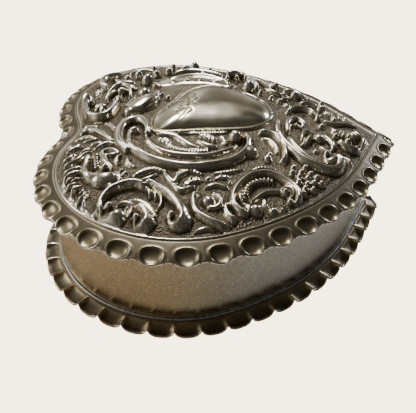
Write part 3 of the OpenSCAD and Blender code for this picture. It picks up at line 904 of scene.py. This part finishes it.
def velvet_lining():
    """Velvet glued to the wall, rolled over at its top edge."""
    lo, hi = heights("side_lining")
    back = [(WALL_BACK - 0.02, z) for z in (lo, (lo + hi) / 2, hi - 0.5)]
    roll = [(WALL_BACK - 0.15, hi - 0.1), (WALL_BACK - 0.45, hi), (WALL_BACK - 0.75, hi - 0.15)]
    face = [(WALL_BACK - 0.8, z) for z in np.linspace(hi - 0.5, lo, 12)]
    return tube("velvet_lining", back + roll + face, 540)


def velvet_pad():
    """Padded floor: crowned, pulled down at its edge."""
    lo, hi = heights("floor_pad")
    pad_edge = WALL_BACK - 1.4
    n = 480
    shoulder = ((0, 0.35), (-0.05, 0.5), (-0.35, 0.66), (-1.0, 0.78))
    top = [level_ring(pad_edge + off, n, mix(lo, hi, rise)) for off, rise in shoulder]
    rim = outline(pad_edge - 1.0, n)
    for f in np.linspace(0.975, 0.03, 40):
        xy = mix(MIDDLE, rim, f)
        z = mix(lo, hi, mix(0.78, 0.97, 1 - f**3)) + 0.09 * waviness(xy[:, 0], xy[:, 1], 14, 5)
        top.append(np.column_stack([xy, np.minimum(z, hi)]))
    bottom = [level_ring(pad_edge - 0.1, n, lo)]
    return shell("velvet_pad", top, bottom, centre_of(top[-1]), (*MIDDLE, lo))


# ---------------- materials


class Nodes:
    """Short way to fill a node tree, of a new material unless an owner is given."""

    def __init__(self, name, owner=None):
        self.owner = owner or bpy.data.materials.new(name)
        self.owner.use_nodes = True
        self.tree = self.owner.node_tree

    def add(self, kind, **inputs):
        node = self.tree.nodes.new(kind)
        for key, value in inputs.items():
            self.feed(node, key.replace("_", " "), value)
        return node

    def feed(self, node, key, value):
        """Link an input, or set it to a constant; colours are given without their alpha."""
        socket = node.inputs[int(key) if key.isdigit() else key]
        if isinstance(value, bpy.types.NodeSocket):
            self.tree.links.new(value, socket)
        else:
            socket.default_value = (*value, 1) if socket.type == "RGBA" else value

    def point(self):
        return self.add("ShaderNodeTexCoord").outputs["Object"]

    def value(self, name):
        node = self.add("ShaderNodeAttribute")
        node.attribute_name = name
        return node.outputs["Fac"]

    def math(self, kind, a, b, clamp):
        node = self.tree.nodes.new("ShaderNodeMath")
        node.operation = kind
        node.use_clamp = clamp
        self.feed(node, "0", a)
        self.feed(node, "1", b)
        return node.outputs[0]

    def plus(self, a, b, clamp=False):
        return self.math("ADD", a, b, clamp)

    def times(self, a, b, clamp=False):
        return self.math("MULTIPLY", a, b, clamp)

    def noise(self, scale, detail=2.0, rough=0.5, where=None, stretch=None):
        vector = where or self.point()
        if stretch:
            mapping = self.add("ShaderNodeMapping", Vector=vector, Scale=stretch)
            vector = mapping.outputs[0]
        node = self.add(
            "ShaderNodeTexNoise", Vector=vector, Scale=scale, Detail=detail, Roughness=rough
        )
        return node.outputs["Fac"]

    def ramp(self, fac, *stops):
        """Colours at places from 0 to 1, blended in between."""
        node = self.add("ShaderNodeValToRGB", Fac=fac)
        band = node.color_ramp
        while len(band.elements) < len(stops):
            band.elements.new(0.5)
        for element, (place, colour) in zip(band.elements, stops):
            element.position = place
            element.color = (*colour, 1)
        return node.outputs["Color"]

    def combine(self, kind, a, b, fac=1.0):
        """Two colours mixed, multiplied or added."""
        node = self.tree.nodes.new("ShaderNodeMix")
        node.data_type = "RGBA"
        node.blend_type = kind
        for key, value in (("0", fac), ("6", a), ("7", b)):
            self.feed(node, key, value)
        return node.outputs[2]

    def bump(self, height, strength, distance, normal=None):
        node = self.add("ShaderNodeBump", Height=height, Strength=strength, Distance=distance)
        if normal is not None:
            self.feed(node, "Normal", normal)
        return node.outputs[0]

    def surface(self, **inputs):
        for key, value in inputs.items():
            self.feed(self.tree.nodes["Principled BSDF"], key.replace("_", " "), value)
        return self.owner

    def silver(self, colour, rough, normal):
        return self.surface(Base_Color=colour, Metallic=1.0, Roughness=rough, Normal=normal)


BRIGHT = (0.80, 0.76, 0.67)
WARM = (0.49, 0.42, 0.27)
DARK = (0.13, 0.11, 0.08)


def embossed_silver():
    """Aged silver: rubbed bright on the high spots, brown and dull in the hollows. On the crimped
    borders and the line round the field, the pit value also carries painted highlights and painted
    shade.
    """
    n = Nodes("embossed_silver")
    pit, ground = n.value("pit"), n.value("ground")
    patch = n.noise(55, 4, 0.6)
    tarnish_and_painted_light = n.plus(n.times(pit, 1.05), n.times(ground, 0.8))
    tarnish_and_painted_light = n.plus(tarnish_and_painted_light, n.times(n.plus(patch, -0.5), 0.7))
    # Colour from tarnish and wear, with the painted highlights and painted shade that come in
    # through the pit value.
    wear_and_painted_light = n.ramp(n.plus(tarnish_and_painted_light, 0.22), (0.0, BRIGHT), (0.45, WARM), (1.0, DARK))
    rough = n.plus(0.16, n.times(tarnish_and_painted_light, 0.3, clamp=True))
    punch = n.add("ShaderNodeTexVoronoi", Vector=n.point(), Scale=1900.0).outputs["Distance"]
    stipple = n.bump(n.times(punch, ground), 0.9, 0.00025)
    scratch = n.bump(n.noise(1800, 2, 0.5), 0.06, 0.0001, stipple)
    return n.silver(wear_and_painted_light, rough, scratch)


def wall_silver():
    """Plain sheet with a fine rubbed grain, warm patches of tarnish and a painted warm reflection
    that grows towards +Y.
    """
    n = Nodes("wall_silver")
    place = n.add("ShaderNodeSeparateXYZ", Vector=n.point())
    # Painted reflection: the colour turns warm and golden towards +Y, standing in for the warm
    # surroundings the wall mirrors; the noise patches are tarnish.
    along = n.times(place.outputs["Y"], 14.0)
    tone = n.plus(along, n.times(n.noise(38, 4, 0.6), 0.9), clamp=True)
    colour = n.ramp(
        tone, (0.1, (0.92, 0.88, 0.79)), (0.55, (0.76, 0.69, 0.54)), (1.0, (0.86, 0.70, 0.49))
    )
    speck = n.noise(2300, 3, 0.75, stretch=(1, 1, 1.6))
    mottle = n.ramp(speck, (0.36, (0.66, 0.66, 0.66)), (0.62, (1, 1, 1)))
    colour = n.combine("MULTIPLY", colour, mottle)
    rise = n.times(n.plus(place.outputs["Z"], -0.003), 160.0, clamp=True)
    rough = n.plus(0.1, n.times(n.times(speck, rise), 0.25))
    grain = n.bump(n.times(speck, rise), 0.7, 0.0003)
    dents = n.bump(n.noise(160, 2, 0.5), 0.2, 0.0004, grain)
    return n.silver(colour, rough, dents)


def solder_silver():
    """Grey, slightly blue solder with a rough skin."""
    n = Nodes("solder_silver")
    lumps = n.noise(900, 4, 0.6)
    colour = n.ramp(lumps, (0.3, (0.36, 0.38, 0.42)), (0.7, (0.66, 0.69, 0.75)))
    return n.silver(colour, 0.38, n.bump(lumps, 0.5, 0.0003))


def plain_silver():
    """Handled silver for the hinge and the strips."""
    n = Nodes("plain_silver")
    wear = n.noise(300, 4, 0.6)
    colour = n.ramp(wear, (0.3, (0.45, 0.40, 0.31)), (0.65, (0.74, 0.71, 0.64)))
    rough = n.plus(0.2, n.times(wear, 0.2))
    return n.silver(colour, rough, n.bump(wear, 0.2, 0.0002))


def pin_wire():
    """Drawn wire with fine lines along the pin."""
    n = Nodes("pin_wire")
    lines = n.noise(900, 2, 0.5, stretch=(0.05, 1, 1))
    colour = n.ramp(lines, (0.3, (0.42, 0.40, 0.36)), (0.7, (0.68, 0.66, 0.62)))
    return n.silver(colour, 0.3, n.bump(lines, 0.3, 0.0001))


def velvet():
    """Deep red short pile with brushed patches."""
    n = Nodes("velvet")
    brushed = n.noise(70, 3, 0.55)
    pile = n.noise(2600, 2, 0.6)
    colour = n.ramp(brushed, (0.3, (0.10, 0.008, 0.018)), (0.7, (0.21, 0.018, 0.04)))
    normal = n.bump(pile, 0.7, 0.0004, n.bump(brushed, 0.3, 0.0008))
    return n.surface(
        Base_Color=colour, Roughness=0.85, Sheen_Weight=0.9, Sheen_Roughness=0.35,
        Sheen_Tint=(0.85, 0.35, 0.42), Normal=normal,
    )


def card():
    """Plain grey-brown board."""
    n = Nodes("card")
    fibre = n.noise(1200, 4, 0.7)
    colour = n.ramp(fibre, (0.3, (0.45, 0.38, 0.27)), (0.7, (0.62, 0.54, 0.42)))
    return n.surface(Base_Color=colour, Roughness=0.9, Normal=n.bump(fibre, 0.4, 0.0002))


def dress(obj, material):
    """Give an object one material in place of any it had."""
    obj.data.materials.clear()
    obj.data.materials.append(material)
    return obj


# ---------------- studio


# What the camera sees behind the box, and what the silver mirrors instead
PALE = (5.8, 4.9, 3.6)
TABLE_GLOW = 1.6
BOX_MIDDLE = Vector((0, 0, 0.02))
ROOM = (
    (0.0, (0.035, 0.033, 0.028)), (0.35, (0.095, 0.09, 0.075)), (0.6, (0.21, 0.195, 0.16)),
    (0.78, (0.38, 0.36, 0.30)), (1.0, (1.0, 0.97, 0.87)),
)


def table_top():
    """Pale to the camera; to the silver, a darker table top that glows, warmer towards +Y, in a
    painted pool of light that fades with distance from the box, with a painted contact shadow round
    the box.
    """
    n = Nodes("table_top")
    pale = n.add("ShaderNodeEmission", Color=PALE)
    place = n.add("ShaderNodeSeparateXYZ", Vector=n.point())
    # The table glows for the silver though it is no lamp: warm brown towards +Y, grey towards -Y.
    side = n.plus(n.times(place.outputs["Y"], 9.0), n.noise(14, 3, 0.6))
    tone = n.ramp(side, (0.2, (0.36, 0.35, 0.33)), (0.75, (0.44, 0.36, 0.25)))
    away = n.add("ShaderNodeVectorMath")
    away.operation = "LENGTH"
    # Painted pool of light: full glow within 0.11 m of the middle, fading to dark by 0.2 m.
    n.feed(away, "0", n.point())
    near = n.ramp(away.outputs["Value"], (0.11, (1, 1, 1)), (0.2, (0.12, 0.12, 0.12)))
    shade = n.add("ShaderNodeAmbientOcclusion", Distance=0.03)
    shade.samples = 4
    # Painted contact shadow where the box stands close.
    shadow = n.ramp(shade.outputs["AO"], (0.5, (0.06, 0.06, 0.06)), (0.9, (1, 1, 1)))
    tone = n.combine("MULTIPLY", n.combine("MULTIPLY", tone, near), shadow)
    table = n.add("ShaderNodeEmission", Color=tone, Strength=TABLE_GLOW)
    seen = n.add("ShaderNodeLightPath").outputs["Is Camera Ray"]
    both = n.add("ShaderNodeMixShader")
    for key, source in (("0", seen), ("1", table.outputs[0]), ("2", pale.outputs[0])):
        n.feed(both, key, source)
    n.feed(n.tree.nodes["Material Output"], "Surface", both.outputs[0])
    return n.owner


def floor():
    """Square of floor, 12 m across."""
    mesh = bpy.data.meshes.new("floor")
    s = 6.0
    mesh.from_pydata([(-s, -s, 0), (s, -s, 0), (s, s, 0), (-s, s, 0)], [], [(0, 1, 2, 3)])
    obj = place_in_scene(bpy.data.objects.new("floor", mesh))
    dress(obj, table_top())


def area_light(name, place, width, depth, power, colour):
    """Rectangular light that faces the middle of the box."""
    light = bpy.data.lights.new(name, "AREA")
    light.shape = "RECTANGLE"
    light.size, light.size_y = width, depth
    light.energy = power
    light.color = colour
    obj = place_in_scene(bpy.data.objects.new(name, light))
    obj.location = place
    obj.rotation_euler = (BOX_MIDDLE - Vector(place)).to_track_quat("-Z", "X").to_euler()
    obj.visible_camera = False


def world():
    """Pale to the camera; to the silver, a cluttered room brighter towards +Y and +X."""
    w = bpy.data.worlds.new("studio")
    bpy.context.scene.world = w
    n = Nodes("studio", w)
    toward = n.add("ShaderNodeTexCoord").outputs["Generated"]
    x, y, z = n.add("ShaderNodeSeparateXYZ", Vector=toward).outputs
    lean = n.plus(n.times(y, 0.42), n.times(x, 0.30))
    lean = n.plus(n.plus(lean, n.times(z, -0.05)), 0.45)
    clutter = n.times(n.plus(n.noise(2.6, 2, 0.5, toward), -0.5), 1.5)
    room = n.ramp(n.plus(lean, clutter), *ROOM)
    aim = n.add("ShaderNodeVectorMath")
    aim.operation = "DOT_PRODUCT"
    n.feed(aim, "0", toward)
    n.feed(aim, "1", (0.50, 0.12, 0.855))
    halo = n.ramp(aim.outputs["Value"], (0.9, (0, 0, 0)), (0.98, (0.8, 0.77, 0.68)))
    room = n.combine("ADD", room, halo)
    seen = n.add("ShaderNodeLightPath").outputs["Is Camera Ray"]
    sight = n.combine("MIX", room, PALE, seen)
    n.feed(n.tree.nodes["Background"], "Color", sight)


def camera():
    """A close view from beside the left lobe, as if the box were held near a phone."""
    azimuth, elevation, roll = math.radians(-93.41), math.radians(35.95), math.radians(2.656)
    distance, focal_px, width_px = 135.0, 551.5, 416
    target = Vector((-26.36, LOBE_Y - 7.07, 18.0))
    back = Vector((math.sin(azimuth) * math.cos(elevation),
                   -math.cos(azimuth) * math.cos(elevation), math.sin(elevation)))
    right = (-back).cross(Vector((0, 0, 1))).normalized()
    up = right.cross(-back)
    tilted_right = math.cos(roll) * right + math.sin(roll) * up
    tilted_up = -math.sin(roll) * right + math.cos(roll) * up
    data = bpy.data.cameras.new("camera")
    data.sensor_width = 36.0
    data.lens = focal_px / width_px * data.sensor_width
    data.clip_start = 0.005
    obj = place_in_scene(bpy.data.objects.new("camera", data))
    turn = Matrix((tilted_right, tilted_up, back)).transposed()
    obj.matrix_world = Matrix.Translation((target + back * distance) * MM) @ turn.to_4x4()
    bpy.context.scene.camera = obj


def lights():
    area_light("skylight", (0.34, 0.08, 0.58), 0.30, 0.17, 2.6, (1.0, 0.98, 0.93))
    area_light("window", (0.16, 0.62, 0.36), 0.26, 0.30, 1.0, (1.0, 0.97, 0.9))
    area_light("lamp", (0.56, -0.51, 0.26), 0.09, 0.09, 1.2, (0.9, 0.95, 1.0))


# ---------------- assembly

camera()

# Each piece: how to build it, its material, the body it rides on, a slot name
# and the nodes it stands in for
pieces = (
    (lid_embossed, embossed_silver, "lid", "silver", ("lid_plate",)),
    (base_crimped, embossed_silver, "box", "silver", ("base_plate",)),
    (wall_band, wall_silver, "box", "silver", ("body_wall",)),
    (solder_line, solder_silver, "box", "silver", ()),
    (bezel_strip, plain_silver, "lid", "silver", ("lid_bezel",)),
    (velvet_lining, velvet, "box", "velvet", ("side_lining",)),
    (velvet_pad, velvet, "box", "velvet", ("floor_pad",)),
)
made = {}
for build, paint, body, slot, nodes in pieces:
    if paint not in made:
        made[paint] = paint()
    piece = dress(build(), made[paint])
    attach(piece, body)
    if nodes:
        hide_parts(*nodes)

silver_parts = plain_silver()
for node in ("body_hinge_bearer", "body_knuckles", "lid_hinge_bearer", "lid_knuckles"):
    dress(frame["nodes"][node], silver_parts)
dress(frame["nodes"]["hinge_pin"], pin_wire())
dress(frame["nodes"]["floor_card"], card())

floor()
world()
lights()
